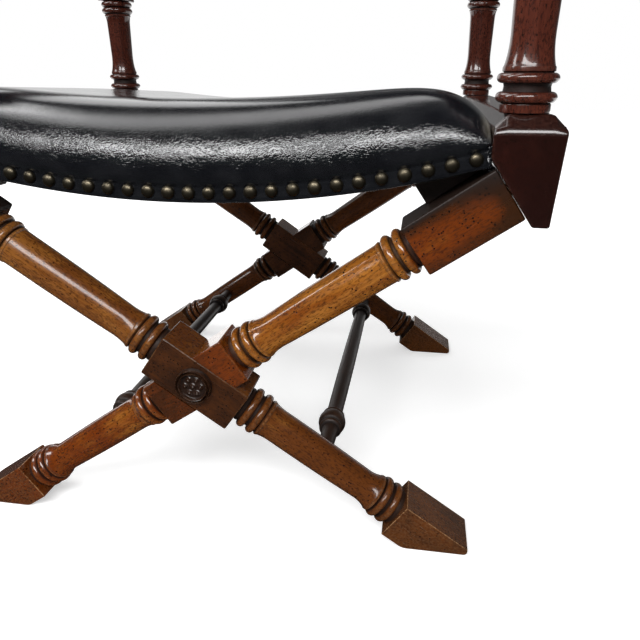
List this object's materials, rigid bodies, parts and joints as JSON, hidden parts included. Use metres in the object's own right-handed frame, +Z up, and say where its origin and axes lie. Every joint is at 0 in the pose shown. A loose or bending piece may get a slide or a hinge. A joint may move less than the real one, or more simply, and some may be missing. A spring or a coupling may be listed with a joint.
{
  "type": "directors chair",
  "caption": "X-framed wooden armchair with turned legs, stretchers and posts, a saddle-dished black leather seat edged with domed nails, flat armrests and a padded leather back.",
  "frame": {"origin": "on the floor, under the middle of the chair", "axes": "+Z up, -Y towards the front, where the sitter faces, +X to the right of someone who looks at the front"},
  "size_m": [0.6618, 0.5776, 0.8938],
  "materials": {
    "leg_wood": "polished orange-brown stain with dark specks",
    "rail_wood": "polished dark red-brown stain",
    "dark_wood": "polished dark brown stain",
    "pale_wood": "raw frame wood",
    "leather": "black, glossy, finely crinkled",
    "black_cloth": "matt lining cloth",
    "foam": "open foam",
    "brass": "antiqued dark brass",
    "steel": "plain screw steel"
  },
  "bodies": {
    "root": {"front_left_leg": "leg_wood", "front_right_leg": "leg_wood", "rear_left_leg": "leg_wood", "rear_right_leg": "leg_wood", "front_crossing_screw": "steel", "rear_crossing_screw": "steel", "front_rosette": "dark_wood", "rear_rosette": "dark_wood", "left_stretcher": "dark_wood", "right_stretcher": "dark_wood", "left_side_rail": "rail_wood", "right_side_rail": "rail_wood", "front_left_rail_dowel": "pale_wood", "front_right_rail_dowel": "pale_wood", "rear_left_rail_dowel": "pale_wood", "rear_right_rail_dowel": "pale_wood", "front_left_post": "rail_wood", "front_right_post": "rail_wood", "rear_left_post": "rail_wood", "rear_right_post": "rail_wood", "left_armrest": "rail_wood", "right_armrest": "rail_wood", "left_armrest_dowel": "pale_wood", "right_armrest_dowel": "pale_wood", "seat_dust_cover": "black_cloth", "seat_front_rail": "pale_wood", "seat_rear_rail": "pale_wood", "seat_left_side": "pale_wood", "seat_right_side": "pale_wood", "seat_deck": "pale_wood", "seat_foam": "foam", "seat_leather": "leather", "seat_front_nail_row": "brass", "seat_rear_nail_row": "brass", "front_left_seat_block": "dark_wood", "front_right_seat_block": "dark_wood", "rear_left_seat_block": "dark_wood", "rear_right_seat_block": "dark_wood", "front_left_seat_screw": "steel", "front_right_seat_screw": "steel", "rear_left_seat_screw": "steel", "rear_right_seat_screw": "steel", "back_board": "pale_wood", "back_foam": "foam", "back_leather": "leather", "back_outside_panel": "leather", "back_left_nail_row": "brass", "back_right_nail_row": "brass", "lower_left_back_bolt": "brass", "lower_right_back_bolt": "brass", "upper_left_back_bolt": "brass", "upper_right_back_bolt": "brass"}
  },
  "joints": []
}
